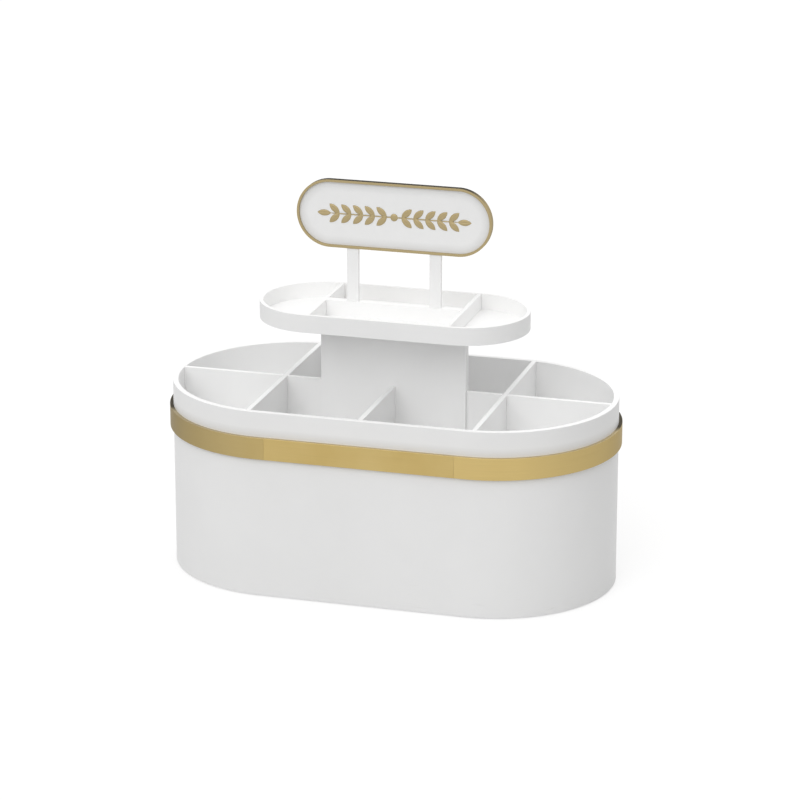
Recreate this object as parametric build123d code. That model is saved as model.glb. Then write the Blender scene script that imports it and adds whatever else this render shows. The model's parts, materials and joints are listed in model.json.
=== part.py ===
from build123d import *
import os
from math import sqrt

# Free-standing market display island: a racetrack-plan body with eight open bins, a riser through
# its middle that carries a raised tray, and a header sign on two posts.
# Millimetres. The origin is on the floor under the middle of the body, +X runs along its length,
# +Y to the rear and +Z up.

# Body
body_length = 1800
body_width = 970
rim_height = 760
wall = 22
floor_gap = 4
rim_round = 2
bin_depth = 166

# Boards, and the housings that hold the edges of the dividers
board = 18
cross_past_straight = 38
housing_depth = 3
slide_gap = 0.2
end_gap = 0.5

# Carcass under the bins
bulkhead_clear = 51
lightening_radius = 80
lightening_spacing = 420
ledger = 30

# Levelling feet
foot_inset = 120
foot_past_bulkhead = 60
pad_radius = 25
pad_height = 10
pad_round = 2
spigot_radius = 4
spigot_length = 5
hex_radius = 9
hex_height = 7
stop_gap = 0.5
stem_radius = 5
stem_above_base = 12
thread_gap = 0.1
insert_radius = 8
flange_radius = 14
flange_height = 2

# Gold band, a folded channel
band_run_on = 33
band_bottom = 571
band_height = 88
band_depth = 14
band_sheet = 1.5

# Riser: cladding round a frame of steel tube
riser_width = 595
riser_depth = 40
riser_panel = 9
riser_edge = 15
upright_spacing = 460
upright_width = 40
upright_depth = 20
tube_wall = 2
upright_gap = 1
rail_height = 30
plate_length = 100
plate_width = 70
plate_thickness = 5
plate_hole_margin = 14
bolt_radius = 3
bolt_gap = 0.3
bolt_head_radius = 6
bolt_head_height = 4
bolt_depth = 14

# Tray
tray_length = 1090
tray_width = 495
tray_height = 72
tray_underside = 1021
tray_wall = 15
tray_board = 9
tray_round = 1.5
tray_divider_board = 15
tray_divider_spacing = 567
tray_spine_board = 35
arm_length = 400
arm_width = 40
arm_thickness = 4
arm_screw_inset = 30
arm_screw_pitch = 120
screw_radius = 2
screw_head_radius = 4
screw_head_height = 2
screw_depth = 3

# Header sign
sign_length = 793
sign_height = 273
sign_depth = 24
sign_underside = 1308
sign_rim = 10
sign_recess = 8
sign_panel = 2
post_spacing = 337
post_width = 47
post_depth = 18
tenon_width = 36
tenon_depth = 8
tenon_gap = 0.3
tongue_length = 110

# Leaf ornament on the sign
ornament_height = 4
stem_half_length = 262
stem_width = 5
berry_radius = 15
leaf_length = 56
leaf_width = 25
leaf_angle = 42
leaf_pairs = 5
leaf_pitch = 48
first_leaf = 30

# Heights and widths that follow from the sizes above
half_straight = (body_length - body_width) / 2
inner_length = body_length - 2 * wall
inner_width = body_width - 2 * wall
deck_top = rim_height - bin_depth
deck_bottom = deck_top - board
housing_floor = deck_top - housing_depth
lap_height = (housing_floor + rim_height) / 2
cross_x = half_straight + cross_past_straight
flange_bottom = pad_height + hex_height + stop_gap
base_bottom = flange_bottom + flange_height
base_top = base_bottom + board
upright_x = upright_spacing / 2
bulkhead_x = upright_x + (plate_length + board) / 2 + bulkhead_clear
foot_x = bulkhead_x + foot_past_bulkhead
plate_top = base_top + plate_thickness
rail_bottom = tray_underside - rail_height
tray_top = tray_underside + tray_height
tray_floor_top = tray_underside + tray_board
tray_housing_floor = tray_floor_top - housing_depth
tray_half_straight = (tray_length - tray_width) / 2
tray_inner_width = tray_width - 2 * tray_wall
tray_divider_x = tray_divider_spacing / 2
post_x = post_spacing / 2
tenon_bottom = rail_bottom + tube_wall + tenon_gap
tongue_top = sign_underside + tongue_length
sign_middle = sign_underside + sign_height / 2
sign_face = sign_depth / 2 - sign_recess
sign_core_half = sign_face - sign_panel
tongue_depth = 2 * (sign_core_half - tenon_gap)
sides = {"left": -1, "right": 1}
faces = {"front": -1, "rear": 1}


def block(x, y, z):
    """Box between the low and high values given for each axis."""
    spans = [sorted(x), sorted(y), sorted(z)]
    size = [high - low for low, high in spans]
    middle = [(low + high) / 2 for low, high in spans]
    return Pos(*middle) * Box(*size)


def around(middle, size):
    """Low and high value of a span about its middle."""
    return middle - size / 2, middle + size / 2


def rod(x, y, radius, bottom, top):
    """Upright cylinder between two heights."""
    return Pos(x, y, (bottom + top) / 2) * Cylinder(radius, top - bottom)


def slab(length, width, bottom, thickness):
    """Racetrack-plan board lying flat."""
    return Pos(0, 0, bottom) * extrude(SlotOverall(length, width), thickness)


def wall_section(inner, outer, bottom, top, rounding):
    """Section of an upright wall, measured out from the wall's axis, with its top edges rounded."""
    section = Pos((inner + outer) / 2, (bottom + top) / 2) * Rectangle(outer - inner, top - bottom)
    return Plane.XZ * fillet(section.vertices().group_by(Axis.Y)[-1], rounding)


def racetrack_walls(section, straight):
    """Two straight walls and two half-round ends of one section, keyed by where they stand."""
    walls = {}
    for name, side in faces.items():
        turned = Rot(0, 0, 90 * side) * section
        walls[name] = Pos(-straight, 0, 0) * extrude(turned, 2 * straight, dir=(1, 0, 0))
    half_round = revolve(section, Axis.Z, 180)
    for name, side in sides.items():
        walls[name] = Pos(side * straight, 0, 0) * Rot(0, 0, -90 * side) * half_round
    return walls


def inner_reach(x):
    """Half the clear width of the body at a place along its length."""
    past = max(0, abs(x) - half_straight)
    return sqrt((inner_width / 2) ** 2 - past**2)


def save(name, *solids):
    """Writes one named piece, or one group of like pieces kept as separate solids."""
    shape = solids[0] if len(solids) == 1 else Compound(children=list(solids))
    export_step(shape, f"parts/{name}.step")


def bin_dividers():
    """The four lift-out dividers of the bins, keyed by name."""
    dividers = {}
    for name, side in sides.items():
        x = around(side * cross_x, board)
        reach = inner_reach(cross_x) + housing_depth
        sheet = block(x, (-reach, reach), (housing_floor, rim_height))
        lap = block(x, around(0, board + 2 * slide_gap), (housing_floor, lap_height))
        dividers[f"cross_partition_{name}"] = sheet - lap
    for name, side in faces.items():
        near = side * (riser_depth / 2 + end_gap)
        far = side * (inner_reach(0) + housing_depth)
        sheet = block(around(0, board), (near, far), (housing_floor, rim_height))
        dividers[f"centre_partition_{name}"] = sheet
    return dividers


def bin_housings():
    """Grooves for the dividers and the spine, open at the rim, cut from the deck and the walls."""
    heights = (housing_floor, rim_height + rim_round)
    width = board + 2 * slide_gap
    past_wall = housing_depth + end_gap
    cuts = []
    for side in (-1, 1):
        ends = (side * riser_width / 2, side * (inner_length / 2 + past_wall))
        cuts.append(block(ends, around(0, width), heights))
        ends = (side * riser_depth / 2, side * (inner_reach(0) + past_wall))
        cuts.append(block(around(0, width), ends, heights))
        reach = inner_reach(cross_x) + past_wall
        cuts.append(block(around(side * cross_x, width), (-reach, reach), heights))
    return cuts


def spine(side):
    """Lengthwise divider from a half-round end to the riser, slotted from above for the lap."""
    x = (side * riser_width / 2, side * (inner_length / 2 + housing_depth))
    sheet = block(x, around(0, board), (housing_floor, rim_height))
    lap = (lap_height - end_gap, rim_height)
    slot = block(around(side * cross_x, board + 2 * slide_gap), around(0, board), lap)
    return sheet - slot


def upright(side):
    """Steel tube with its foot plate, drilled for four screws."""
    x = side * upright_x
    heights = (plate_top, rail_bottom)
    tube = block(around(x, upright_width), around(0, upright_depth), heights)
    bore = 2 * tube_wall
    tube -= block(around(x, upright_width - bore), around(0, upright_depth - bore), heights)
    plate = block(around(x, plate_length), around(0, plate_width), (base_top, plate_top))
    for px, py in plate_holes(side):
        plate -= rod(px, py, bolt_radius + bolt_gap, base_top, plate_top)
    return tube + plate


def plate_holes(side):
    """Middles of the four screw holes of one foot plate."""
    dx = plate_length / 2 - plate_hole_margin
    dy = plate_width / 2 - plate_hole_margin
    return [(side * upright_x + sx * dx, sy * dy) for sx in (-1, 1) for sy in (-1, 1)]


def plate_screw(x, y):
    """Screw with a flat round head that holds a foot plate to the base board."""
    head = rod(x, y, bolt_head_radius, plate_top, plate_top + bolt_head_height)
    return head + rod(x, y, bolt_radius, base_top - bolt_depth, plate_top)


def foot_places():
    """Where the levelling feet stand, keyed by name."""
    across = body_width / 2 - foot_inset
    along = body_length / 2 - foot_inset
    places = {
        f"{face}_{end}": (side * foot_x, row * across)
        for face, row in faces.items()
        for end, side in sides.items()
    }
    places.update({f"{end}_end": (side * along, 0) for end, side in sides.items()})
    return places


def foot_pad(x, y):
    """Round glide that meets the floor, with a socket for the stem's spigot."""
    pad = rod(x, y, pad_radius, 0, pad_height)
    pad = fillet(pad.edges().group_by(Axis.Z)[-1], pad_round)
    return pad - rod(x, y, spigot_radius, pad_height - spigot_length, pad_height)


def foot_stem(x, y):
    """Threaded stem with its hexagon, standing in the pad."""
    hexagon = Pos(x, y, pad_height) * extrude(RegularPolygon(hex_radius, 6), hex_height)
    spigot = rod(x, y, spigot_radius, pad_height - spigot_length, pad_height)
    return hexagon + spigot + rod(x, y, stem_radius, pad_height + hex_height, base_top + stem_above_base)


def foot_insert(x, y):
    """Flanged threaded bush in the base board."""
    bush = rod(x, y, insert_radius, base_bottom, base_top)
    bush += rod(x, y, flange_radius, flange_bottom, base_bottom)
    return bush - rod(x, y, stem_radius + thread_gap, flange_bottom, base_top)


def bulkhead(side):
    """Cross panel that carries the deck, with two round lightening holes."""
    middle = (base_top + deck_bottom) / 2
    x = around(side * bulkhead_x, board)
    reach = inner_reach(bulkhead_x + board / 2)
    panel = block(x, (-reach, reach), (base_top, deck_bottom))
    for y in around(0, lightening_spacing):
        panel -= Pos(side * bulkhead_x, y, middle) * Rot(0, 90, 0) * Cylinder(lightening_radius, board)
    return panel


def deck_ledger(side):
    """Batten under the deck, along a straight wall between the bulkheads."""
    end = bulkhead_x - board / 2
    y = (side * inner_reach(end), side * (inner_reach(end) - ledger))
    return block((-end, end), y, (deck_bottom - ledger, deck_bottom))


def band_section():
    """Folded channel, its open side against the body."""
    inner = body_width / 2
    top = band_bottom + band_height
    sheet = wall_section(inner, inner + band_depth, band_bottom, top, band_sheet / 2)
    hollow = block(
        (inner - band_depth, inner + band_depth - band_sheet),
        around(0, band_depth),
        (band_bottom + band_sheet, top - band_sheet),
    )
    return sheet - hollow


def band_lengths():
    """Gold band in four lengths, keyed by where they stand; the end ones run on past the half-rounds."""
    lengths = racetrack_walls(band_section(), half_straight)
    heights = (band_bottom, band_bottom + band_height)
    y = around(0, body_width + 2 * band_depth)
    joint = half_straight - band_run_on
    for name, side in sides.items():
        run_on = block((side * joint, side * half_straight), y, heights)
        for face in faces:
            lengths[name] += lengths[face] & run_on
    for face in faces:
        lengths[face] &= block((-joint, joint), y, heights)
    return lengths


def post_slots(depth, bottom, top):
    """Slots for the tenons of both sign posts, of one depth and between two heights."""
    width = tenon_width + 2 * tenon_gap
    return [block(around(side * post_x, width), around(0, depth), (bottom, top)) for side in sides.values()]


def foot_slots(bottom, top):
    """Slots for the tenons at the feet of the sign posts."""
    return post_slots(tenon_depth + 2 * tenon_gap, bottom, top)


def head_rail():
    """Steel tube across the tops of the uprights, slotted for the sign posts."""
    x = around(0, upright_spacing + upright_width)
    rail = block(x, around(0, upright_depth), (rail_bottom, tray_underside))
    bore = (rail_bottom + tube_wall, tray_underside - tube_wall)
    rail -= block(x, around(0, upright_depth - 2 * tube_wall), bore)
    return rail - foot_slots(tenon_bottom, tray_underside)


def arm_holes(side):
    """Middles of the screw holes of one tray arm."""
    first = arm_length / 2 - arm_screw_inset
    rows = (first, first - arm_screw_pitch)
    return [(side * upright_x, sy * row) for row in rows for sy in (-1, 1)]


def tray_arm(side):
    """Flat steel bar let into the underside of the tray floor."""
    heights = (tray_underside, tray_underside + arm_thickness)
    arm = block(around(side * upright_x, arm_width), around(0, arm_length), heights)
    for x, y in arm_holes(side):
        arm -= rod(x, y, screw_head_radius + bolt_gap, tray_underside, tray_underside + screw_head_height)
        arm -= rod(x, y, screw_radius + bolt_gap, *heights)
    return arm


def arm_screw(x, y):
    """Flat-headed screw up through a tray arm into the tray floor."""
    head = rod(x, y, screw_head_radius, tray_underside, tray_underside + screw_head_height)
    tip = tray_underside + arm_thickness + screw_depth
    return head + rod(x, y, screw_radius, tray_underside + screw_head_height, tip)


def tray_housings():
    """Grooves for the two tray dividers and the tray spine between them."""
    heights = (tray_housing_floor, tray_top + tray_round)
    width = tray_divider_board + 2 * slide_gap
    reach = tray_inner_width / 2 + housing_depth + end_gap
    cuts = [block(around(s * tray_divider_x, width), (-reach, reach), heights) for s in sides.values()]
    width = tray_spine_board + 2 * slide_gap
    cuts.append(block((-tray_divider_x, tray_divider_x), around(0, width), heights))
    return cuts


def tray_floor():
    """Racetrack board with grooves above, arm housings below and slots for the sign posts."""
    floor = slab(tray_length - 2 * tray_wall, tray_inner_width, tray_underside, tray_board)
    under = (tray_underside, tray_underside + arm_thickness)
    for side in sides.values():
        x = around(side * upright_x, arm_width + 2 * slide_gap)
        floor -= block(x, around(0, arm_length + 2 * slide_gap), under)
        for px, py in arm_holes(side):
            floor -= rod(px, py, screw_radius, under[1], under[1] + screw_depth)
    return floor - tray_housings() - foot_slots(tray_underside, tray_floor_top)


def tray_divider(side):
    """Lift-out divider across the tray."""
    x = around(side * tray_divider_x, tray_divider_board)
    reach = tray_inner_width / 2 + housing_depth
    return block(x, (-reach, reach), (tray_housing_floor, tray_top))


def tray_spine():
    """Fixed lengthwise divider of the tray, mortised for the sign posts."""
    reach = tray_divider_x - tray_divider_board / 2 - end_gap
    sheet = block((-reach, reach), around(0, tray_spine_board), (tray_housing_floor, tray_top))
    return sheet - foot_slots(tray_housing_floor, tray_top)


def sign_post(side):
    """Flat post with a tenon at its foot and a thin tongue at its head."""
    x = side * post_x
    shaft = block(around(x, post_width), around(0, post_depth), (tray_top, sign_underside))
    foot = block(around(x, tenon_width), around(0, tenon_depth), (tenon_bottom, tray_top))
    tongue = block(around(x, tenon_width), around(0, tongue_depth), (sign_underside, tongue_top))
    return shaft + foot + tongue


def sign_plate(inset, rear, front):
    """Upright racetrack plate between two distances from the sign's middle plane."""
    outline = SlotOverall(sign_length - 2 * inset, sign_height - 2 * inset)
    plate = extrude(Plane.XZ.offset(rear) * outline, front - rear)
    return Pos(0, 0, sign_middle) * plate


def sign_frame():
    """Racetrack rim of the sign, slotted below for the posts."""
    half = sign_depth / 2
    ring = sign_plate(0, -half, half) - sign_plate(sign_rim, -half, half)
    return ring - post_slots(2 * sign_core_half, sign_underside, sign_underside + sign_rim)


def sign_core():
    """Board between the two faces, cut through for the tongues of the posts."""
    board_between = sign_plate(sign_rim, -sign_core_half, sign_core_half)
    return board_between - post_slots(sign_depth, sign_underside, tongue_top + tenon_gap)


def leaf(length, width):
    """Pointed leaf between two arcs, from its stalk at the origin along +X."""
    upper = ThreePointArc((0, 0), (length / 2, width / 2), (length, 0))
    lower = ThreePointArc((length, 0), (length / 2, -width / 2), (0, 0))
    return make_face([upper, lower])


def ornament(face):
    """Raised sprig of paired leaves either side of a round berry, on one face of the sign."""
    sprig = Rectangle(2 * stem_half_length, stem_width) + Circle(berry_radius)
    for turn in (0, 180):
        for pair in range(leaf_pairs):
            stalk = first_leaf + pair * leaf_pitch
            for lean in (-leaf_angle, leaf_angle):
                sprig += Rot(0, 0, turn) * Pos(stalk, 0) * Rot(0, 0, lean) * leaf(leaf_length, leaf_width)
        tip = stem_half_length - stem_width
        sprig += Rot(0, 0, turn) * Pos(tip, 0) * leaf(leaf_length, leaf_width)
    raised = Pos(0, 0, sign_middle) * extrude(Plane.XZ.offset(sign_face) * sprig, ornament_height)
    return Rot(0, 0, 0 if face < 0 else 180) * raised


def build_base():
    """Base board, feet and the inner cross panels."""
    base = slab(inner_length, inner_width, base_bottom, board)
    places = foot_places()
    for x, y in places.values():
        base -= rod(x, y, insert_radius, base_bottom, base_top)
    for side in sides.values():
        for x, y in plate_holes(side):
            base -= rod(x, y, bolt_radius, base_top - bolt_depth, base_top)
    save("base_board", base)
    save("foot_inserts", *[foot_insert(x, y) for x, y in places.values()])
    for name, (x, y) in places.items():
        save(f"foot_pad_{name}", foot_pad(x, y))
        save(f"foot_stem_{name}", foot_stem(x, y))
    for name, side in sides.items():
        save(f"bulkhead_{name}", bulkhead(side))
    save("deck_ledgers", *[deck_ledger(side) for side in faces.values()])


def build_body():
    """Outer walls, gold band, deck, spine and bin dividers."""
    housings = bin_housings()
    section = wall_section(inner_width / 2, body_width / 2, floor_gap, rim_height, rim_round)
    names = {face: f"{face}_panel" for face in faces}
    names.update({side: f"end_shell_{side}" for side in sides})
    for place, wall_piece in racetrack_walls(section, half_straight).items():
        save(names[place], wall_piece - housings)
    for place, strip in band_lengths().items():
        save(f"band_{place}", strip)
    deck = slab(inner_length, inner_width, deck_bottom, board) - housings
    for side in sides.values():
        x = around(side * upright_x, upright_width + 2 * upright_gap)
        deck -= block(x, around(0, upright_depth + 2 * upright_gap), (deck_bottom, deck_top))
    save("deck_board", deck)
    for name, side in sides.items():
        save(f"spine_{name}", spine(side))
    for name, divider in bin_dividers().items():
        save(name, divider)


def build_riser():
    """Steel frame and the cladding round it."""
    heights = (deck_top, tray_underside)
    for name, side in sides.items():
        save(f"riser_upright_{name}", upright(side))
        edge = (side * riser_width / 2, side * (riser_width / 2 - riser_edge))
        save(f"riser_edge_{name}", block(edge, around(0, riser_depth - 2 * riser_panel), heights))
    screws = [plate_screw(x, y) for side in sides.values() for x, y in plate_holes(side)]
    save("plate_screws", *screws)
    save("riser_head_rail", head_rail())
    for name, side in faces.items():
        y = (side * riser_depth / 2, side * (riser_depth / 2 - riser_panel))
        save(f"riser_{name}_panel", block(around(0, riser_width), y, heights))


def build_tray():
    """Tray floor, its rim, its dividers and the arms that carry it."""
    housings = tray_housings()
    section = wall_section(tray_inner_width / 2, tray_width / 2, tray_underside, tray_top, tray_round)
    for place, rim in racetrack_walls(section, tray_half_straight).items():
        save(f"tray_rim_{place}", rim - housings)
    save("tray_floor", tray_floor())
    save("tray_spine", tray_spine())
    for name, side in sides.items():
        save(f"tray_divider_{name}", tray_divider(side))
        save(f"tray_arm_{name}", tray_arm(side))
    save("arm_screws", *[arm_screw(x, y) for side in sides.values() for x, y in arm_holes(side)])


def build_sign():
    """Posts, rim, core, two faces and the ornament on each."""
    for name, side in sides.items():
        save(f"sign_post_{name}", sign_post(side))
    save("sign_frame", sign_frame())
    save("sign_core", sign_core())
    save("sign_panel_front", sign_plate(sign_rim, sign_core_half, sign_face))
    save("sign_panel_rear", sign_plate(sign_rim, -sign_face, -sign_core_half))
    for name, face in faces.items():
        save(f"sign_ornament_{name}", ornament(face))


os.makedirs("parts", exist_ok=True)
build_base()
build_body()
build_riser()
build_tray()
build_sign()
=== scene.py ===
import json
from math import acos, cos, pi, radians, sin

import bpy
import numpy as np
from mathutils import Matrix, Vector

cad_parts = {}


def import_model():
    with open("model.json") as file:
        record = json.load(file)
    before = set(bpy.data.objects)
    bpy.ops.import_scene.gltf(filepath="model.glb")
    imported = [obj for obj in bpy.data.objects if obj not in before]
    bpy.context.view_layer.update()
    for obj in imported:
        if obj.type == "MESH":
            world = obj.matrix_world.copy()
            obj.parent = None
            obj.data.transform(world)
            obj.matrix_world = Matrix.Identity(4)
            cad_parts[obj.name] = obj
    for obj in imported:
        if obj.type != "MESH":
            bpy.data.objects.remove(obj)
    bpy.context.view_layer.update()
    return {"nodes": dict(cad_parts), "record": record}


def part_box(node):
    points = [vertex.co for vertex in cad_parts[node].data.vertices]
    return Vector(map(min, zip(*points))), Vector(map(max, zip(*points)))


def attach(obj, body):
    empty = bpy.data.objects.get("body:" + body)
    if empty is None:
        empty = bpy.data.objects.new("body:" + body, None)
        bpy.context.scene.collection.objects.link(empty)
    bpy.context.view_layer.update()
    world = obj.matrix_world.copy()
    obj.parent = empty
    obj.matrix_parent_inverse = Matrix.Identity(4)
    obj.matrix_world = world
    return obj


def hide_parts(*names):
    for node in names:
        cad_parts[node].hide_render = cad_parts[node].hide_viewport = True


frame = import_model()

# Looks of the market display island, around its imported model. Metres, +X along the length, +Z up.

MM = 0.001
X, Y, Z = np.eye(3)
SLOT_OF = {part["node"]: part["material_slot"] for part in frame["record"]["subparts"]}
BODY_OF = {n: body for body, names in frame["record"]["behaviour"]["bodies"].items() for n in names}

# Camera, fitted to the photograph
VIEW_AZIMUTH, VIEW_ELEVATION = radians(16.354), radians(17.865)
VIEW_DISTANCE = 13.5464
VIEW_TARGET = Vector((0.0229, 0.0, 0.6985))
LENS, SENSOR = 153.795, 36.0

# Edge roundings of the finished pieces
BOARD_ROUND = 0.9 * MM
BOARD_CORNER = 1.2 * MM
PANEL_ROUND = 0.6 * MM
RIM_ROUND = 2.0 * MM
TRAY_ROUND = 1.5 * MM
FOOT_ROUND = 1.0 * MM
POST_ROUND = 1.2 * MM
GROOVE_RAMP = 0.3 * MM
GROOVE_DEPTH = 3.5 * MM
GROOVE_ROOM = 0.2 * MM
SHARP_ANGLE = radians(35)
TURNED_AWAY = radians(60)


# Surfaces

def span(node):
    """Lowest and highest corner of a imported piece."""
    low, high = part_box(node)
    return np.array(low), np.array(high)


def rounded_outline(corners, radii, steps=6):
    """Closed outline with every corner turned into an arc, and its outward normals.

    A side stops r tan(turn / 2) short of its corner. From there the normal swings evenly through the turn,
    and the arc's points lie one radius along it from the arc's middle. At a hollow corner the radius counts
    as negative."""
    corners = np.asarray(corners, float)
    radii = np.broadcast_to(np.asarray(radii, float), len(corners))
    side = corners - np.roll(corners, 1, 0)
    side = side / np.linalg.norm(side, axis=1, keepdims=True)
    after = np.roll(side, -1, 0)
    turn = np.arctan2(side[:, 0] * after[:, 1] - side[:, 1] * after[:, 0], (side * after).sum(1))
    start = corners - side * (radii * np.tan(np.abs(turn) / 2))[:, None]
    first = np.arctan2(side[:, 1], side[:, 0]) - pi / 2
    angle = first[:, None] + turn[:, None] * np.linspace(0, 1, steps + 1)
    normals = np.stack([np.cos(angle), np.sin(angle)], -1)
    radius = (radii * np.sign(turn))[:, None, None]
    points = start[:, None] - radius * normals[:, :1] + radius * normals
    return points.reshape(-1, 2), normals.reshape(-1, 2)


def rectangle(low, high, radii):
    """Outline of a rectangle between two of its corners, with every corner rounded."""
    (left, foot), (right, head) = low, high
    return rounded_outline([(left, foot), (right, foot), (right, head), (left, head)], radii)


def carried(outline, axis, out, up, shift=0.0, ring=False):
    """Section carried along a path: axis point + (section reach + shift) * outward + section height * up."""
    section, normals = outline
    reach = section[None, :, 0] + shift
    points = axis[:, None] + reach[..., None] * out[:, None] + section[None, :, 1, None] * up
    facing = normals[None, :, 0, None] * out[:, None] + normals[None, :, 1, None] * up
    return {"points": points, "normals": facing + 0 * points, "ring": ring}


def plate(outline, thickness, rounding, middle, across, along, axis, steps=4):
    """Flat board of one outline with rounded edges.

    Over the thickness an angle swings from -90 to 90 degrees: the outline is drawn in by r (1 - cos) along
    its normals and stands r sin above or below the two levels that lie one rounding inside the faces."""
    section, normals = outline
    swing = np.concatenate([np.linspace(-pi / 2, 0, steps + 1), np.linspace(0, pi / 2, steps + 1)])
    level = np.repeat([-1, 1], steps + 1) * (thickness / 2 - rounding) + rounding * np.sin(swing)
    drawn = section[None] - normals[None] * (rounding * (1 - np.cos(swing)))[:, None, None]
    points = np.asarray(middle) + drawn[..., :1] * across + drawn[..., 1:] * along
    points = points + level[:, None, None] * axis
    sideways = normals[None, :, :1] * across + normals[None, :, 1:] * along
    facing = sideways * np.cos(swing)[:, None, None] + axis * np.sin(swing)[:, None, None]
    return {"points": points, "normals": facing, "ring": False}


def turned(outline, middle, count=64):
    """Section of radius and height turned about an upright axis."""
    angle = np.linspace(0, 2 * pi, count, endpoint=False)
    out = np.stack([np.cos(angle), np.sin(angle), 0 * angle], -1)
    return carried(outline, np.repeat([np.asarray(middle, float)], count, 0), out, Z, ring=True)


def smooth_normals(points):
    """Normals of a grid whose columns close on themselves, from the cross product of its two slopes."""
    down = np.gradient(points, axis=0)
    round_it = np.roll(points, -1, 1) - np.roll(points, 1, 1)
    normals = np.cross(down, round_it)
    return normals / np.maximum(np.linalg.norm(normals, axis=-1, keepdims=True), 1e-12)


def lengths(points, axis, closed):
    """Running length along one direction of a grid, taken along its first line."""
    line = points[:, 0] if axis == 0 else points[0]
    if closed:
        line = np.concatenate([line, line[:1]])
    return np.concatenate([[0], np.cumsum(np.linalg.norm(np.diff(line, axis=0), axis=1))])


def faces_of(patch):
    """Four-cornered faces of a grid and, unless it is a ring, its two end faces, all facing outwards.

    A corner takes the surface's own normal, except where its face turns well away from it, as at a groove's
    side, where it takes the face's."""
    points, normals = patch["points"], patch["normals"]
    rows, columns = points.shape[:2]
    index = np.arange(rows * columns).reshape(rows, columns)
    closed = np.concatenate([index, index[:1]]) if patch["ring"] else index
    closed = np.concatenate([closed, closed[:, :1]], 1)
    corners = (closed[:-1, :-1], closed[1:, :-1], closed[1:, 1:], closed[:-1, 1:])
    quads = np.stack(corners, -1).reshape(-1, 4)
    u = lengths(points, 0, patch["ring"])
    v = lengths(points, 1, True)
    grid = np.stack(np.meshgrid(u, v, indexing="ij"), -1)
    uv = np.stack([grid[:-1, :-1], grid[1:, :-1], grid[1:, 1:], grid[:-1, 1:]], 2).reshape(-1, 4, 2)
    ends = [] if patch["ring"] else [index[0][::-1], index[-1]]
    flat, flat_normals = points.reshape(-1, 3), normals.reshape(-1, 3)
    a, b, c, d = (flat[quads[:, k]] for k in range(4))
    volume = (np.cross(a, b) * c).sum() + (np.cross(a, c) * d).sum()
    for end in ends:
        loop = flat[end]
        volume += (np.cross(loop[:1], loop[1:-1]) * loop[2:]).sum()
    if volume < 0:
        quads, uv = quads[:, ::-1], uv[:, ::-1]
        ends = [end[::-1] for end in ends]
    a, b, c, d = (flat[quads[:, k]] for k in range(4))
    face = np.cross(c - a, d - b)
    face /= np.maximum(np.linalg.norm(face, axis=1, keepdims=True), 1e-15)
    corner = flat_normals[quads]
    toward = (corner * face[:, None]).sum(-1)
    if toward.mean() < 0:
        corner, toward = -corner, -toward
    corner = np.where(toward[..., None] > cos(TURNED_AWAY), corner, face[:, None])
    end_normals = []
    for end in ends:
        loop = flat[end]
        normal = np.cross(loop, np.roll(loop, -1, 0)).sum(0)
        end_normals.append(np.repeat([normal / np.linalg.norm(normal)], len(end), 0))
    return quads, uv, corner, ends, end_normals


def make_piece(name, patches, node, finish):
    """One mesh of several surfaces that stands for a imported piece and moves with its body."""
    vertices, faces, normals, uvs = [], [], [], []
    start = 0
    for patch in patches:
        quads, uv, corner, ends, end_normals = faces_of(patch)
        vertices.append(patch["points"].reshape(-1, 3))
        faces += (quads + start).tolist() + [(end + start).tolist() for end in ends]
        normals += [corner.reshape(-1, 3), *end_normals]
        uvs += [uv.reshape(-1, 2), *(np.zeros((len(end), 2)) for end in ends)]
        start += len(vertices[-1])
    mesh = bpy.data.meshes.new(name)
    mesh.from_pydata(np.concatenate(vertices).tolist(), [], faces)
    mesh.polygons.foreach_set("use_smooth", np.ones(len(faces), bool))
    mesh.uv_layers.new(name="UVMap").data.foreach_set("uv", np.concatenate(uvs).astype(np.float32).ravel())
    mesh.set_sharp_from_angle(angle=SHARP_ANGLE)
    mesh.normals_split_custom_set(np.concatenate(normals).tolist())
    mesh.materials.append(finish)
    piece = bpy.data.objects.new(name, mesh)
    bpy.context.scene.collection.objects.link(piece)
    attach(piece, BODY_OF[node])
    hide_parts(node)
    return piece


def stations(low, high, count, grooves):
    """Evenly spaced stations, four more at each groove, and how far each lies in a groove, from 0 to 1."""
    edges = [c + s * (w + r) for c, w, ramp in grooves for s in (-1, 1) for r in (0, ramp)]
    along = np.unique(np.concatenate([np.linspace(low, high, count), edges]))
    depth = np.zeros_like(along)
    for centre, half, ramp in grooves:
        depth = np.maximum(depth, np.clip((half + ramp - np.abs(along - centre)) / ramp, 0, 1))
    return along, depth


def straight_run(outline, half, side, grooves=(), inner_below=None):
    """Section carried along a straight side of the racetrack, with upright grooves in its inner face."""
    x, depth = stations(-half, half, 2, grooves)
    axis = x[:, None] * X
    out = np.repeat([side * Y], len(x), 0)
    shift = groove_shift(outline, depth, inner_below)
    return carried(outline, axis, out, Z, shift)


def round_end(outline, half, side, grooves=(), inner_below=None, run_on=0.0, count=121):
    """Section carried round a half-round end of the racetrack, with upright grooves in its inner face.

    Where it runs on past the half-round, one more station at each end lies that far along the straight."""
    angle, depth = stations(-pi / 2, pi / 2, count, grooves)
    past = np.zeros_like(angle)
    if run_on:
        angle, depth, past = (np.pad(line, 1, "edge") for line in (angle, depth, past))
        past[[0, -1]] = run_on
    axis = (side * (half - past))[:, None] * X
    out = np.stack([side * np.cos(angle), np.sin(angle), 0 * angle], -1)
    shift = groove_shift(outline, depth, inner_below)
    return carried(outline, axis, out, Z, shift)


def groove_shift(outline, depth, inner_below):
    """How far each point of the section moves outwards: the groove's depth on the inner face alone."""
    if inner_below is None:
        return 0.0
    inner = outline[0][:, 0] < inner_below
    return GROOVE_DEPTH * depth[:, None] * inner[None]


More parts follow.
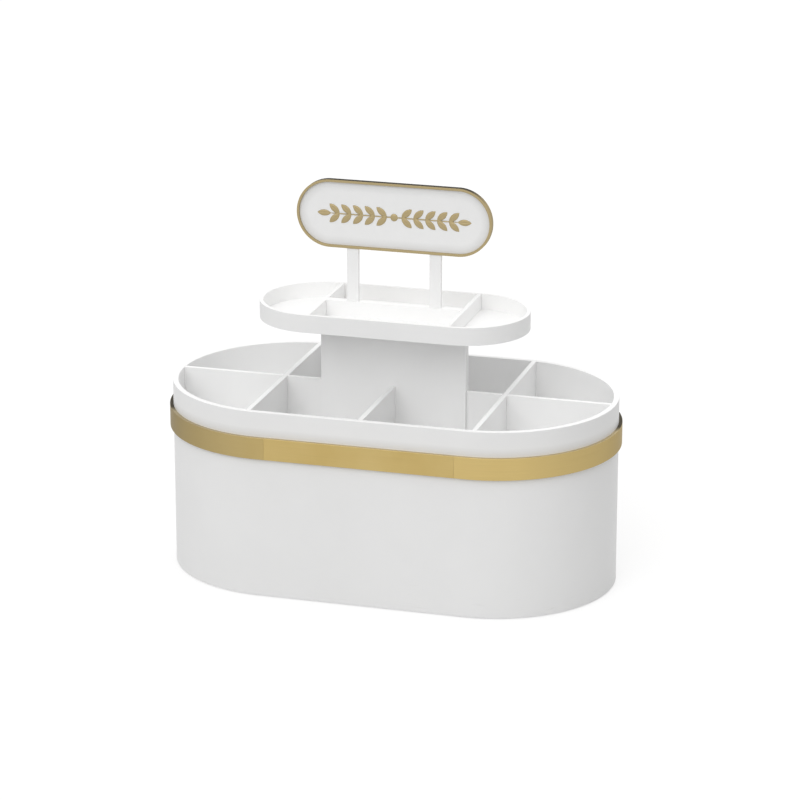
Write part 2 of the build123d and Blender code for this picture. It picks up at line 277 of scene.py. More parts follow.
def racetrack_ring(outline, half, middle, count=96):
    """Section carried round a whole upright racetrack: two half circles, one about each end of the middle
    line, so that the straight sides are the steps from one to the other."""
    angle = np.concatenate([np.linspace(-pi / 2, pi / 2, count), np.linspace(pi / 2, 3 * pi / 2, count)])
    side = np.repeat([1.0, -1.0], count)
    axis = np.asarray(middle) + (side * half)[:, None] * X
    out = np.cos(angle)[:, None] * X + np.sin(angle)[:, None] * Z
    return carried(outline, axis, out, Y, ring=True)


# Finishes

class Wire:
    """A node's socket in arithmetic: each operator adds one Math node and gives its result."""

    def __init__(self, tree, socket):
        self.tree, self.socket = tree, socket

    def math(self, operation, *values):
        node = self.tree.nodes.new("ShaderNodeMath")
        node.operation = operation
        for slot, value in zip(node.inputs, values):
            join(self.tree, slot, value)
        return Wire(self.tree, node.outputs[0])

    def __add__(self, other):
        return self.math("ADD", self, other)

    def __sub__(self, other):
        return self.math("SUBTRACT", self, other)

    def __rsub__(self, other):
        return self.math("SUBTRACT", other, self)

    def __mul__(self, other):
        return self.math("MULTIPLY", self, other)

    def __truediv__(self, other):
        return self.math("DIVIDE", self, other)

    def __rtruediv__(self, other):
        return self.math("DIVIDE", other, self)

    def __gt__(self, other):
        return self.math("GREATER_THAN", self, other)

    def __lt__(self, other):
        return self.math("LESS_THAN", self, other)

    __radd__ = __add__
    __rmul__ = __mul__

    def clamped(self, low, high):
        """Runs from 0 at low to 1 at high, and stays there beyond them."""
        run = (self - low) / (high - low)
        return run.math("MINIMUM", run.math("MAXIMUM", run, 0.0), 1.0)


def join(tree, slot, value):
    """Links a wire to a socket, or sets the socket's own value."""
    if isinstance(value, Wire):
        tree.links.new(value.socket, slot)
    else:
        slot.default_value = value


class Finish:
    """The nodes of one material, or of the world."""

    def __init__(self, owner):
        self.owner = bpy.data.materials.new(owner) if isinstance(owner, str) else owner
        self.owner.use_nodes = True
        self.tree = self.owner.node_tree
        self.tree.nodes.clear()

    def node(self, kind, settings=None, sockets=None, output=0):
        """Adds a node: its settings first, then its sockets' values or links. Gives one of its outputs."""
        node = self.tree.nodes.new("ShaderNode" + kind)
        for key, value in (settings or {}).items():
            setattr(node, key, value)
        for key, value in (sockets or {}).items():
            join(self.tree, node.inputs[key], value)
        return Wire(self.tree, node.outputs[output]) if len(node.outputs) else None

    def place(self, scale=(1, 1, 1), source="Object"):
        """The piece's own coordinates, stretched."""
        where = self.node("TexCoord", output=source)
        return self.node("Mapping", {}, {"Vector": where, "Scale": scale})

    def axes(self):
        """The piece's own coordinates, one by one."""
        where = self.node("TexCoord", output="Object")
        return [self.node("SeparateXYZ", {}, {"Vector": where}, k) for k in range(3)]

    def upward(self):
        """Runs from 0 to 1 as a face turns up to lie level."""
        facing = self.node("NewGeometry", output="Normal")
        return self.node("SeparateXYZ", {}, {"Vector": facing}, 2).clamped(*LEVEL_RANGE)

    def noise(self, where, scale, detail, roughness, distortion=0.0):
        """Uneven pattern over the coordinates given, from 0 to 1."""
        grain = {"Scale": scale, "Detail": detail, "Roughness": roughness, "Distortion": distortion}
        return self.node("TexNoise", {}, {"Vector": where, **grain})

    def mix(self, factor, first, second):
        """Mix of two colours."""
        return self.node("Mix", {"data_type": "RGBA"}, {0: factor, 6: first, 7: second}, 2)

    def bump(self, height, strength, distance):
        """Relief of a pattern's height, as deep as the distance given."""
        return self.node("Bump", {}, {"Height": height, "Strength": strength, "Distance": distance})

    def surface(self, **sockets):
        """The shader that everything else feeds; underscores stand for the spaces in its sockets' names."""
        values = {key.replace("_", " "): value for key, value in sockets.items()}
        shader = self.node("BsdfPrincipled", {}, values)
        self.node("OutputMaterial", {}, {"Surface": shader})
        return self.owner


def tint(r, g, b):
    """Opaque colour."""
    return (r, g, b, 1.0)


def from_line(along, across, half):
    """Distance from the middle line of a racetrack, which reaches a half length to each side of 0."""
    past = along.math("MAXIMUM", along.math("ABSOLUTE", along) - half, 0.0)
    return past.math("SQRT", past * past + across * across)


BLACK = tint(0.0, 0.0, 0.0)
DULL_WHITE = tint(0.885, 0.885, 0.882)
CLEAR_WHITE = tint(0.905, 0.905, 0.902)
# Painted light: the lighter white of the tray's inside and of upward faces above the band
PAINTED_LIGHT_WHITE = tint(0.950, 0.950, 0.947)

# Places on the object that the finishes follow
SKIN = 1 * MM
SCUFFED = 10 * MM, 160 * MM
# Painted shade on the wall just above the band fades out across these heights over the band's top
SHADE_OVER_BAND = 8 * MM, 36 * MM
# Painted shade on the sign's faces reaches this far in from its rim
SHADE_BY_RIM = 36 * MM
RUBBED = 0.0, 4 * MM
LEVEL_RANGE = 0.55, 0.95
BODY_HALF = span("front_panel")[1][0]
BODY_END = span("end_shell_right")[1][0]
BODY_OUT = span("rear_panel")[1][1]
BAND_JOINT = span("band_front")[1][0]
BAND_TOP = span("band_front")[1][2]
RIGHT_END = 0.70 * BODY_END, BODY_END
FAR_END = 0.80 * BODY_END, 0.95 * BODY_END
# Where painted shade darkens the band's lip at its far ends: the lean and the span across the band
LIP_SKEW = 0.14
LIP_SHADE_FROM, LIP_SHADE_TO = (-160 * MM, -100 * MM), (80 * MM, 200 * MM)
TRAY_HALF = span("tray_rim_rear")[1][0]
TRAY_OUT = span("tray_rim_rear")[1][1]
TRAY_LEVEL = span("tray_rim_rear")[0][2]
SIGN_LEVEL = span("sign_frame")[0][2]
SIGN_MIDDLE = sum(span("sign_frame"))[2] / 2
PANEL_RADIUS = np.ptp([corner[2] for corner in span("sign_panel_front")]) / 2
PANEL_HALF = span("sign_panel_front")[1][0] - PANEL_RADIUS


def white_lacquer():
    """Sprayed satin lacquer: orange peel, faint cloudiness, a few fine hairline scuffs near the floor.

    It is painted lighter inside the tray and on upper edges, as painted light, and a little darker on the
    wall just above the band, as painted shade."""
    f = Finish("white_lacquer")
    where = f.place()
    peel = f.noise(where, 420.0, 3.0, 0.55)
    cloud = f.noise(where, 2.6, 4.0, 0.6)
    fine = f.noise(where, 55.0, 5.0, 0.6)
    hairlines = f.noise(f.place((9, 9, 160)), 1.0, 6.0, 0.65, 0.3).clamped(0.62, 0.72)
    x, y, height = f.axes()
    scuff = hairlines * (1 - height.clamped(*SCUFFED)) * 0.35
    # Painted shade mask: the outer wall just above the band
    shade_over_band = (height > BAND_TOP) * (1 - (height - BAND_TOP).clamped(*SHADE_OVER_BAND))
    on_wall = from_line(x, y, BODY_HALF) > BODY_OUT - SKIN
    # Painted light masks: the tray's inside and upward faces above the band are made lighter
    light_in_tray = (height > TRAY_LEVEL) * (from_line(x, y, TRAY_HALF) < TRAY_OUT - SKIN)
    light_on_upper_edge = (height > BAND_TOP) * f.upward()
    clouded = f.mix(cloud.clamped(0.35, 0.65), DULL_WHITE, CLEAR_WHITE)
    # Painted light: lighter white mixed in inside the tray and on upper edges
    painted_light = f.mix(x.math("MAXIMUM", light_in_tray, light_on_upper_edge), clouded, PAINTED_LIGHT_WHITE)
    # Painted shade: the wall just above the band is darkened
    greyer = f.mix(shade_over_band * on_wall * 0.14, painted_light, BLACK)
    worn = f.mix(scuff, greyer, tint(0.60, 0.59, 0.57))
    gloss = 0.42 + fine * 0.12 + scuff * 0.15
    return f.surface(
        Base_Color=worn, Roughness=gloss, Normal=f.bump(peel, 0.10, 0.6 * MM), Specular_IOR_Level=0.22
    )


def gold_trim():
    """Satin gold sheet, brushed along its length, whose reflections turn grey at a glancing angle.

    Its colour is painted darker and cooler towards the ends of the band, most of all on the left, as painted
    shade, and lighter on the right end piece, as a painted highlight. The band's lip is painted paler, a
    painted highlight. Upper edges are painted dark on the sign and at the band's far ends, as painted shade,
    there a little to the front on the left and to the rear on the right."""
    f = Finish("gold_trim")
    brushed = f.noise(f.place((3, 900, 1), "UV"), 1.0, 4.0, 0.6)
    hair = f.noise(f.place((14, 2600, 1), "UV"), 1.0, 2.0, 0.5)
    cast = f.noise(f.place(), 5.0, 3.0, 0.5)
    x, y, z = f.axes()
    left = 0 - x
    # Painted shade: darker, cooler gold towards the band's ends, most on the left
    end_shade = left.clamped(BAND_JOINT, BODY_END) * 0.70 + x.clamped(*RIGHT_END) * 0.34
    # Painted shade on the band's lip at its far ends and on the sign's upper edges
    across = y - x * LIP_SKEW
    at_far_end = x.math("ABSOLUTE", x).clamped(*FAR_END)
    lip_shade = at_far_end * across.clamped(*LIP_SHADE_FROM) * (1 - across.clamped(*LIP_SHADE_TO))
    edge_shade = x.math("MAXIMUM", lip_shade * 0.95, z > SIGN_MIDDLE)
    upward = f.upward()
    warm = f.mix(cast.clamped(0.35, 0.65), tint(0.592, 0.436, 0.165), tint(0.632, 0.477, 0.197))
    # Painted highlight: lighter gold on the band's right end piece
    sheet = f.mix((x > BAND_JOINT) * 0.7, warm, tint(0.690, 0.520, 0.212))
    # Painted shade mixed in towards the band's ends
    end_shaded = f.mix((left > BAND_JOINT) * 0.25 + end_shade, sheet, tint(0.33, 0.265, 0.142))
    on_sign = f.mix(z > SIGN_LEVEL, end_shaded, tint(0.46, 0.37, 0.205))
    lined = f.mix(brushed.clamped(0.3, 0.7) * 0.22, on_sign, tint(0.36, 0.27, 0.11))
    # Painted highlight: paler gold on upward faces of the band's lip
    lip_highlight = f.mix(upward * (z < SIGN_LEVEL) * 0.5, lined, tint(0.66, 0.58, 0.42))
    # Painted shade: upward faces there are darkened nearly to black
    edge_shaded = f.mix(upward * edge_shade, lip_highlight, tint(0.026, 0.021, 0.010))
    return f.surface(
        Base_Color=edge_shaded, Metallic=0.60, Roughness=0.34 + hair * 0.14,
        Specular_IOR_Level=0.2, Specular_Tint=tint(0.46, 0.45, 0.44),
        Normal=f.bump(brushed * 0.6 + hair * 0.4, 0.12, 0.2 * MM),
    )


def painted_rim_shade(f):
    """Painted shade in the sign's recess: runs from 0 to 1 over the last stretch of the sign's faces before
    its rim; 0 below the sign.
    """
    x, _, z = f.axes()
    reach = from_line(x, z - SIGN_MIDDLE, PANEL_HALF)
    return reach.clamped(PANEL_RADIUS - SHADE_BY_RIM, PANEL_RADIUS) * (z > SIGN_LEVEL)


def powder_coat(name, light, dark, roughness, greyer=None):
    """Powder coat: fine even pebbling with a faint cloud in its tone, and darker by painted shade in the
    place given.
    """
    f = Finish(name)
    pebble = f.noise(f.place(), 900.0, 2.0, 0.5)
    cloud = f.noise(f.place(), 12.0, 4.0, 0.6)
    tone = f.mix(cloud.clamped(0.3, 0.7), dark, light)
    if greyer:
        # Painted shade from the function given darkens the tone there
        tone = f.mix(greyer(f) * 0.15, tone, BLACK)
    gloss = roughness + pebble * 0.12
    return f.surface(Base_Color=tone, Roughness=gloss, Normal=f.bump(pebble, 0.25, 0.4 * MM))


def plywood():
    """Bare birch: long grain lines, paler early wood and small dark flecks."""
    f = Finish("plywood")
    grain = f.noise(f.place((3, 60, 60)), 1.0, 8.0, 0.65, 0.6)
    band = f.noise(f.place((0.8, 9, 9)), 1.0, 3.0, 0.5, 1.2)
    fleck = f.noise(f.place((40, 400, 400)), 1.0, 2.0, 0.5).clamped(0.66, 0.72)
    grained = f.mix(grain.clamped(0.3, 0.7), tint(0.50, 0.36, 0.21), tint(0.68, 0.54, 0.37))
    banded = f.mix(band.clamped(0.4, 0.7) * 0.4, grained, tint(0.56, 0.41, 0.25))
    flecked = f.mix(fleck * 0.5, banded, tint(0.33, 0.21, 0.11))
    return f.surface(Base_Color=flecked, Roughness=0.52 + grain * 0.2, Normal=f.bump(grain, 0.25, 0.4 * MM))


def zinc_steel():
    """Bright zinc plating: small crystals, fine turning marks."""
    f = Finish("zinc_steel")
    crystal = f.node("TexVoronoi", {"feature": "F1"}, {"Vector": f.place(), "Scale": 260.0}, 1)
    shade = f.node("SeparateXYZ", {}, {"Vector": crystal}, 0)
    marks = f.noise(f.place((200, 200, 2600)), 1.0, 3.0, 0.6)
    tone = f.mix(shade, tint(0.54, 0.55, 0.56), tint(0.70, 0.71, 0.72))
    return f.surface(
        Base_Color=tone, Metallic=1.0, Roughness=0.26 + marks * 0.2, Normal=f.bump(marks, 0.15, 0.2 * MM)
    )


def black_nylon():
    """Moulded nylon: fine matt spark texture, greyer where it rubs the floor."""
    f = Finish("black_nylon")
    spark = f.noise(f.place(), 1400.0, 3.0, 0.6)
    height = f.axes()[2]
    rubbed = (1 - height.clamped(*RUBBED)) * f.noise(f.place(), 220.0, 5.0, 0.7).clamped(0.4, 0.65)
    tone = f.mix(rubbed * 0.5, tint(0.022, 0.022, 0.023), tint(0.11, 0.11, 0.105))
    return f.surface(Base_Color=tone, Roughness=0.48 + spark * 0.2, Normal=f.bump(spark, 0.3, 0.3 * MM))


FINISHES = {
    "white_lacquer": white_lacquer(),
    "gold_trim": gold_trim(),
    "white_coat": powder_coat("white_coat", CLEAR_WHITE, DULL_WHITE, 0.40, painted_rim_shade),
    "frame_steel": powder_coat("frame_steel", tint(0.15, 0.15, 0.16), tint(0.11, 0.11, 0.12), 0.50),
    "plywood": plywood(),
    "zinc_steel": zinc_steel(),
    "black_nylon": black_nylon(),
}
for node, thing in frame["nodes"].items():
    thing.data.materials.clear()
    thing.data.materials.append(FINISHES[SLOT_OF[node]])


def dress(node, *patches):
    """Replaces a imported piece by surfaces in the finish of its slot."""
    return make_piece(node + "_skin", patches, node, FINISHES[SLOT_OF[node]])


# Body walls

front_low, front_high = span("front_panel")
half_straight = front_high[0]
wall_out, wall_in = -front_low[1], -front_high[1]
board = np.ptp([corner[0] for corner in span("centre_partition_front")])
groove_half = board / 2 + GROOVE_ROOM
wall_rounds = [FOOT_ROUND, FOOT_ROUND, RIM_ROUND, RIM_ROUND]
wall_section = rectangle((wall_in, front_low[2]), (wall_out, front_high[2]), wall_rounds)
mid_wall = (wall_in + wall_out) / 2
for node, side in (("front_panel", -1), ("rear_panel", 1)):
    dress(node, straight_run(wall_section, half_straight, side, [(0.0, groove_half, GROOVE_RAMP)], mid_wall))

cross_low, cross_high = span("cross_partition_right")
cross_past = (cross_low[0] + cross_high[0]) / 2 - half_straight
near, far = acos((cross_past + groove_half) / wall_in), acos((cross_past - groove_half) / wall_in)
ramp = GROOVE_RAMP / wall_in
end_grooves = [
    (0.0, groove_half / wall_in, ramp),
    ((near + far) / 2, (far - near) / 2, ramp),
    (-(near + far) / 2, (far - near) / 2, ramp),
]
for node, side in (("end_shell_left", -1), ("end_shell_right", 1)):
    dress(node, round_end(wall_section, half_straight, side, end_grooves, mid_wall))

# Gold band, a folded channel with its open side to the wall
BAND_SHEET = 1.5 * MM
BAND_BEND = 1.2 * MM
BAND_INNER_BEND = 0.7 * MM
BAND_EDGE = 0.2 * MM
BAND_GAP = 0.5 * MM
band_low, band_high = span("band_front")
band_half = band_high[0] - BAND_GAP / 2
band_run_on = half_straight - band_high[0] - BAND_GAP / 2
back, face = wall_out, -band_low[1]
foot, head = band_low[2], band_high[2]
band_section = rounded_outline(
    [
        (back, foot), (face, foot), (face, head), (back, head),
        (back, head - BAND_SHEET), (face - BAND_SHEET, head - BAND_SHEET),
        (face - BAND_SHEET, foot + BAND_SHEET), (back, foot + BAND_SHEET),
    ],
    [BAND_EDGE, BAND_BEND, BAND_BEND, BAND_EDGE, BAND_EDGE, BAND_INNER_BEND, BAND_INNER_BEND, BAND_EDGE],
)
for node, side in (("band_front", -1), ("band_rear", 1)):
    dress(node, straight_run(band_section, band_half, side))
for node, side in (("band_left", -1), ("band_right", 1)):
    dress(node, round_end(band_section, half_straight, side, run_on=band_run_on))


# Dividers of the bins

def flat_board(node, axis, rounding, corner):
    """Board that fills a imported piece's box, with its faces square to one axis."""
    low, high = span(node)
    others = [k for k in range(3) if k != axis]
    directions = np.eye(3)
    middle = directions[axis] * (low[axis] + high[axis]) / 2
    outline = rectangle(low[others], high[others], corner)
    return plate(outline, high[axis] - low[axis], rounding, middle, *directions[others], directions[axis])


lap_height = (cross_low[2] + cross_high[2]) / 2
for node in ("cross_partition_left", "cross_partition_right"):
    low, high = span(node)
    outline = rounded_outline(
        [
            (low[1], low[2]), (-groove_half, low[2]), (-groove_half, lap_height), (groove_half, lap_height),
            (groove_half, low[2]), (high[1], low[2]), (high[1], high[2]), (low[1], high[2]),
        ],
        BOARD_CORNER,
    )
    dress(node, plate(outline, board, BOARD_ROUND, (low + high) / 2 * X, Y, Z, X))

for node, side in (("spine_left", -1), ("spine_right", 1)):
    low, high = span(node)
    slot = side * (half_straight + cross_past)
    slot_left, slot_right = slot - groove_half, slot + groove_half
    outline = rounded_outline(
        [
            (low[0], low[2]), (high[0], low[2]), (high[0], high[2]), (slot_right, high[2]),
            (slot_right, lap_height), (slot_left, lap_height), (slot_left, high[2]), (low[0], high[2]),
        ],
        BOARD_CORNER,
    )
    dress(node, plate(outline, board, BOARD_ROUND, (0, 0, 0), X, Z, Y))

for node in ("centre_partition_front", "centre_partition_rear"):
    dress(node, flat_board(node, 0, BOARD_ROUND, BOARD_CORNER))

# Riser cladding
for node in ("riser_front_panel", "riser_rear_panel"):
    dress(node, flat_board(node, 1, PANEL_ROUND, PANEL_ROUND))
for node in ("riser_edge_left", "riser_edge_right"):
    dress(node, flat_board(node, 0, PANEL_ROUND, PANEL_ROUND))

# Tray
tray_low, tray_high = span("tray_rim_front")
tray_half = tray_high[0]
tray_out, tray_in = -tray_low[1], -tray_high[1]
tray_rounds = [PANEL_ROUND, PANEL_ROUND, TRAY_ROUND, TRAY_ROUND]
tray_section = rectangle((tray_in, tray_low[2]), (tray_out, tray_high[2]), tray_rounds)
divider_low, divider_high = span("tray_divider_right")
divider_x = (divider_low[0] + divider_high[0]) / 2
divider_half = (divider_high[0] - divider_low[0]) / 2 + GROOVE_ROOM
tray_grooves = [(s * divider_x, divider_half, GROOVE_RAMP) for s in (-1, 1)]
mid_tray = (tray_in + tray_out) / 2
for node, side in (("tray_rim_front", -1), ("tray_rim_rear", 1)):
    dress(node, straight_run(tray_section, tray_half, side, tray_grooves, mid_tray))
for node, side in (("tray_rim_left", -1), ("tray_rim_right", 1)):
    dress(node, round_end(tray_section, tray_half, side))
for node in ("tray_divider_left", "tray_divider_right"):
    dress(node, flat_board(node, 0, BOARD_ROUND, BOARD_CORNER))

# Header sign
TENON_WIDTH = 36 * MM
TENON_DEPTH = 8 * MM
TONGUE_DEPTH = 3.4 * MM
TENON_ROOT = 2 * MM
SIGN_ROUND = 1.0 * MM
sign_low, sign_high = span("sign_frame")
sign_middle = (sign_low + sign_high) / 2
sign_radius = (sign_high[2] - sign_low[2]) / 2
sign_half = sign_high[0] - sign_radius
rim_in = sign_radius - (sign_high[0] - span("sign_panel_front")[1][0])
spine_top = span("tray_spine")[1][2]
for node in ("sign_post_left", "sign_post_right"):
    low, high = span(node)
    x = (low[0] + high[0]) / 2
    half_tenon = TENON_WIDTH / 2
    shaft = rectangle((low[0], spine_top), (high[0], sign_low[2]), POST_ROUND)
    tenon = rectangle((x - half_tenon, low[2]), (x + half_tenon, spine_top + TENON_ROOT), POST_ROUND)
    tongue = rectangle((x - half_tenon, sign_low[2] - TENON_ROOT), (x + half_tenon, high[2]), POST_ROUND)
    dress(
        node,
        plate(shaft, high[1] - low[1], POST_ROUND, (0, 0, 0), X, Z, Y),
        plate(tenon, TENON_DEPTH, PANEL_ROUND, (0, 0, 0), X, Z, Y),
        plate(tongue, TONGUE_DEPTH, PANEL_ROUND, (0, 0, 0), X, Z, Y),
    )
rim_section = rectangle((rim_in, sign_low[1]), (sign_radius, sign_high[1]), SIGN_ROUND)
dress("sign_frame", racetrack_ring(rim_section, sign_half, sign_middle))

# Leaf sprig on both faces
LEAF_LENGTH, LEAF_WIDTH = 56 * MM, 25 * MM
LEAF_LEAN = radians(42)
LEAF_PAIRS, LEAF_PITCH, FIRST_LEAF = 5, 48 * MM, 30 * MM
STEM_HALF, STEM_WIDTH = 262 * MM, 5 * MM
BERRY_RADIUS, BERRY_HOLE = 15 * MM, 0.02 * MM
LEAF_RISE, STEM_RISE = 0.8, 0.6
LEAF_RIB, RIB_WIDTH = 0.35, 0.10


def relief(along, half_width, height, rib):
    """Low relief over a flat back: at each station of its length the section rises as height * (1 - v^2)^0.4
    over v from -1 to 1, less a share in a narrow groove at v = 0, and returns flat along the back."""
    v = np.linspace(-1, 1, 25)
    dome = np.clip(1 - v**2, 0, 1) ** 0.4 * (1 - rib * np.exp(-((v / RIB_WIDTH) ** 2)))
    back = np.array([0.5, 0.0, -0.5])
    across = np.concatenate([v, back])
    rise = np.concatenate([dome, 0 * back])
    grid = np.zeros((len(along), len(across), 3))
    grid[..., 0] = along[:, None]
    grid[..., 1] = half_width[:, None] * across
    grid[..., 2] = height[:, None] * rise
    return grid


def leaf_relief(height):
    """Pointed leaf between two equal arcs, highest along the middle of each half.

    An arc through both tips that bulges by the sag, half the width, has the radius
    (length^2 / 4 + sag^2) / (2 sag). The height follows the square root of a half wave from tip to tip."""
    u = np.linspace(0.004, 0.996, 33)
    sag = LEAF_WIDTH / 2
    radius = (LEAF_LENGTH**2 / 4 + sag**2) / (2 * sag)
    x = u * LEAF_LENGTH
    half_width = np.sqrt(radius**2 - (x - LEAF_LENGTH / 2) ** 2) - (radius - sag)
    rise = height * np.sin(pi * u) ** 0.5
    return relief(x, half_width, rise, LEAF_RIB)


def sprig(face_y, height, side):
    """Stem, leaf pairs, tip leaves and berry of one face: reliefs turned in the sign's plane and set on it.

    The stem tapers at its tips, a leaf is turned by its lean about its stalk, and the berry is half an
    ellipsoid, a quarter ellipse from its foot to its top at every angle round it."""
    leaf = leaf_relief(LEAF_RISE * height)
    u = np.linspace(-1, 1, 41)
    taper = np.sqrt(np.clip(1 - u**16, 0.02, 1))
    parts = [relief(u * STEM_HALF, STEM_WIDTH / 2 * taper, STEM_RISE * height * taper, 0.0)]
    stalks = [FIRST_LEAF + k * LEAF_PITCH for k in range(LEAF_PAIRS)]
    leaning = [(stalk, lean) for stalk in stalks for lean in (-LEAF_LEAN, LEAF_LEAN)]
    for way in (1.0, -1.0):
        for stalk, lean in [*leaning, (STEM_HALF - STEM_WIDTH, 0.0)]:
            turned_leaf = leaf.copy()
            c, s = cos(lean), sin(lean)
            turned_leaf[..., 0] = stalk + leaf[..., 0] * c - leaf[..., 1] * s
            turned_leaf[..., 1] = leaf[..., 0] * s + leaf[..., 1] * c
            turned_leaf[..., :2] *= way
            parts.append(turned_leaf)
    rising = np.linspace(0.0, pi / 2, 17)
    ring = np.linspace(0, 2 * pi, 48, endpoint=False)
    radius = BERRY_RADIUS * np.cos(rising) + BERRY_HOLE
    berry = np.zeros((len(rising), len(ring), 3))
    berry[..., 0] = radius[:, None] * np.cos(ring)
    berry[..., 1] = radius[:, None] * np.sin(ring)
    berry[..., 2] = (height * np.sin(rising))[:, None]
    parts.append(berry)
    patches = []
    for part in parts:
        x, z, rise = -side * part[..., 0], sign_middle[2] + part[..., 1], side * part[..., 2]
        placed = np.stack([x, face_y + rise, z], -1)
        patches.append({"points": placed, "normals": smooth_normals(placed), "ring": False})
    return patches


for node, side in (("sign_ornament_front", -1), ("sign_ornament_rear", 1)):
    low, high = span(node)
    face_y = low[1] if side > 0 else high[1]
    dress(node, *sprig(face_y, high[1] - low[1], side))


# Levelling feet

PAD_CORE = 4.0 * MM
PAD_RECESS = 0.8 * MM
PAD_LIP, PAD_HOLLOW = 0.55, 0.50
PAD_ROUNDS = np.array([0.4, 1.0, 2.0, 0.3, 0.3, 0.4]) * MM
HEX_HEIGHT, HEX_RADIUS = 7.0 * MM, 9.0 * MM
HEX_CORNER, HEX_ROUND = 0.8 * MM, 0.6 * MM
SPIGOT_HOLE, SPIGOT_ROOM, SPIGOT_ROUND = 0.5 * MM, 0.05 * MM, 0.3 * MM
STEM_LAP = 1 * MM
THREAD_RADIUS, THREAD_DEPTH, THREAD_PITCH = 5.0 * MM, 0.45 * MM, 1.5 * MM


def threaded_rod(x, y, low, high):
    """Screw surface: the radius falls and rises once per pitch of height, one pitch higher after each turn.

    The thread runs out over the last pitch at both ends."""
    z = np.linspace(low, high, 1 + int(round((high - low) / (THREAD_PITCH / 8))))
    angle = np.linspace(0, 2 * pi, 48, endpoint=False)
    phase = z[:, None] / THREAD_PITCH - angle[None] / (2 * pi)
    ends = np.minimum(np.minimum(z - low, high - z) / THREAD_PITCH, 1)[:, None]
    radius = THREAD_RADIUS - THREAD_DEPTH * (1 - ends * np.abs(2 * (phase % 1) - 1))
    points = np.stack([x + radius * np.cos(angle), y + radius * np.sin(angle), z[:, None] + 0 * radius], -1)
    return {"points": points, "normals": smooth_normals(points), "ring": False}


for place in ("front_left", "front_right", "rear_left", "rear_right", "left_end", "right_end"):
    low, high = span(f"foot_pad_{place}")
    x, y = (low[0] + high[0]) / 2, (low[1] + high[1]) / 2
    radius = (high[0] - low[0]) / 2
    pad = rounded_outline(
        [
            (PAD_CORE, low[2]), (radius, low[2]), (radius, high[2]), (PAD_LIP * radius, high[2]),
            (PAD_HOLLOW * radius, high[2] - PAD_RECESS), (PAD_CORE, high[2] - PAD_RECESS),
        ],
        PAD_ROUNDS,
    )
    dress(f"foot_pad_{place}", turned(pad, (x, y, 0)))
    stem_low, stem_high = span(f"foot_stem_{place}")
    sixths = np.arange(6) * pi / 3
    hexagon = rounded_outline(HEX_RADIUS * np.stack([np.cos(sixths), np.sin(sixths)], -1), HEX_CORNER)
    nut = plate(hexagon, HEX_HEIGHT, HEX_ROUND, (x, y, high[2] + HEX_HEIGHT / 2), X, Y, Z)
    spigot_foot = SPIGOT_HOLE, stem_low[2]
    spigot_head = PAD_CORE - SPIGOT_ROOM, high[2] + STEM_LAP
    spigot = rectangle(spigot_foot, spigot_head, SPIGOT_ROUND)
    rod = threaded_rod(x, y, high[2] + HEX_HEIGHT - STEM_LAP, stem_high[2])
    dress(f"foot_stem_{place}", nut, turned(spigot, (x, y, 0), 32), rod)


# Stage: floor, world, lamps and camera

AMBIENT = 0.675
FLOOR_TONE = 0.50
FLOOR_SHADE = 0.40
FLOOR_LIFT = 0.62
FLOOR_REACH = 60.0
FAR_CLIP = 300.0
LAMP_ANGLE = radians(50)
LAMPS = {
    "overhead_softbox": {"energy": 0.42, "towards": Vector((0.0, -0.10, 0.99))},
    "front_softbox": {"energy": 0.89, "towards": Vector((-0.14, -0.755, 0.64))},
    "rear_softbox": {"energy": 0.41, "towards": Vector((0.10, 0.80, 0.58))},
}


def seen_directly(f):
    """1 for rays from the camera, from reflections and through glass, 0 for light on surfaces."""
    direct, glossy, through = (
        f.node("LightPath", output=f"Is {kind} Ray") for kind in ("Camera", "Glossy", "Transmission")
    )
    return direct.math("MAXIMUM", direct.math("MAXIMUM", direct, glossy), through)


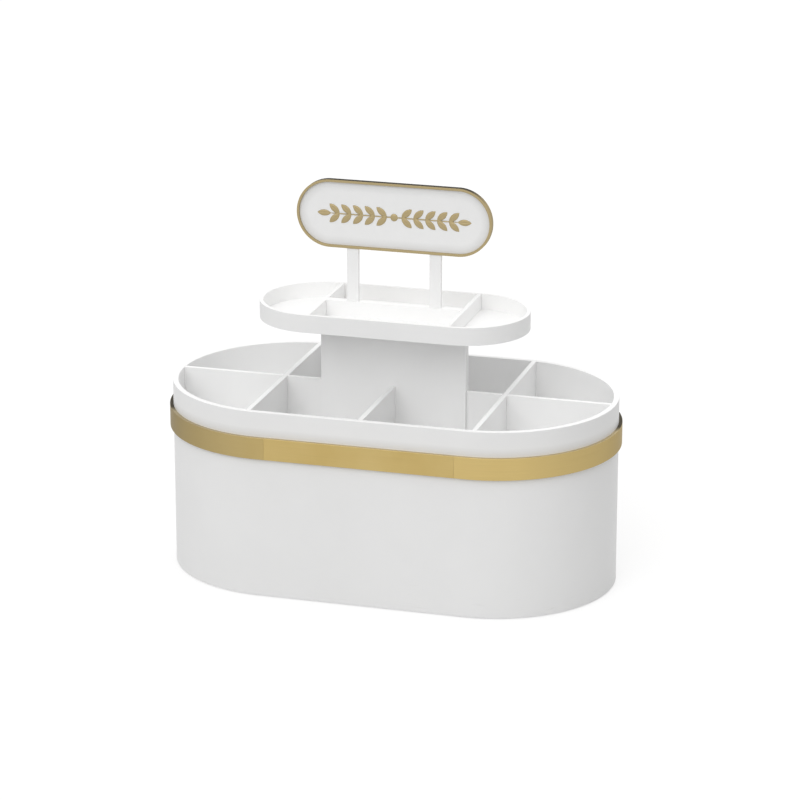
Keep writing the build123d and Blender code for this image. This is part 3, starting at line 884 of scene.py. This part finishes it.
def floor():
    """Pale floor that lights the object plainly and shows its shadow on white."""
    mesh = bpy.data.meshes.new("studio_floor")
    corners = [(FLOOR_REACH * i, FLOOR_REACH * k, 0) for i, k in ((-1, -1), (1, -1), (1, 1), (-1, 1))]
    mesh.from_pydata(corners, [], [(0, 1, 2, 3)])
    f = Finish("studio_floor")
    lit = f.node("BsdfDiffuse", {}, {"Color": tint(FLOOR_TONE, FLOOR_TONE, FLOOR_TONE)})
    shade = f.node("BsdfDiffuse", {}, {"Color": tint(FLOOR_SHADE, FLOOR_SHADE, FLOOR_SHADE)})
    lift = f.node("Emission", {}, {"Color": tint(1, 1, 1), "Strength": FLOOR_LIFT})
    shown = f.node("AddShader", {}, {0: shade, 1: lift})
    both = f.node("MixShader", {}, {0: seen_directly(f), 1: lit, 2: shown})
    f.node("OutputMaterial", {}, {"Surface": both})
    mesh.materials.append(f.owner)
    ground = bpy.data.objects.new("studio_floor", mesh)
    bpy.context.scene.collection.objects.link(ground)


def world():
    """White where it is seen, an even soft light where it lights."""
    f = Finish(bpy.data.worlds.new("studio"))
    strength = AMBIENT + seen_directly(f) * (1 - AMBIENT)
    glow = f.node("Background", {}, {"Color": tint(1, 1, 1), "Strength": strength})
    f.node("OutputWorld", {}, {"Surface": glow})
    bpy.context.scene.world = f.owner


def lamp(name, energy, towards):
    """Broad distant lamp; towards points from the object to it."""
    light = bpy.data.lights.new(name, "SUN")
    light.energy, light.angle = energy, LAMP_ANGLE
    thing = bpy.data.objects.new(name, light)
    thing.rotation_mode = "QUATERNION"
    thing.rotation_quaternion = towards.to_track_quat("Z", "Y")
    bpy.context.scene.collection.objects.link(thing)


def camera():
    """Camera that looks at its target from the photograph's angle."""
    lens = bpy.data.cameras.new("view")
    lens.lens, lens.sensor_width, lens.sensor_fit = LENS, SENSOR, "HORIZONTAL"
    lens.clip_end = FAR_CLIP
    level = cos(VIEW_ELEVATION)
    back = Vector((sin(VIEW_AZIMUTH) * level, -cos(VIEW_AZIMUTH) * level, sin(VIEW_ELEVATION)))
    thing = bpy.data.objects.new("view", lens)
    thing.rotation_mode = "QUATERNION"
    thing.location = VIEW_TARGET + VIEW_DISTANCE * back
    thing.rotation_quaternion = (-back).to_track_quat("-Z", "Y")
    bpy.context.scene.collection.objects.link(thing)
    bpy.context.scene.camera = thing


floor()
world()
for name, setting in LAMPS.items():
    lamp(name, **setting)
camera()
bpy.context.scene.view_settings.view_transform = "Standard"
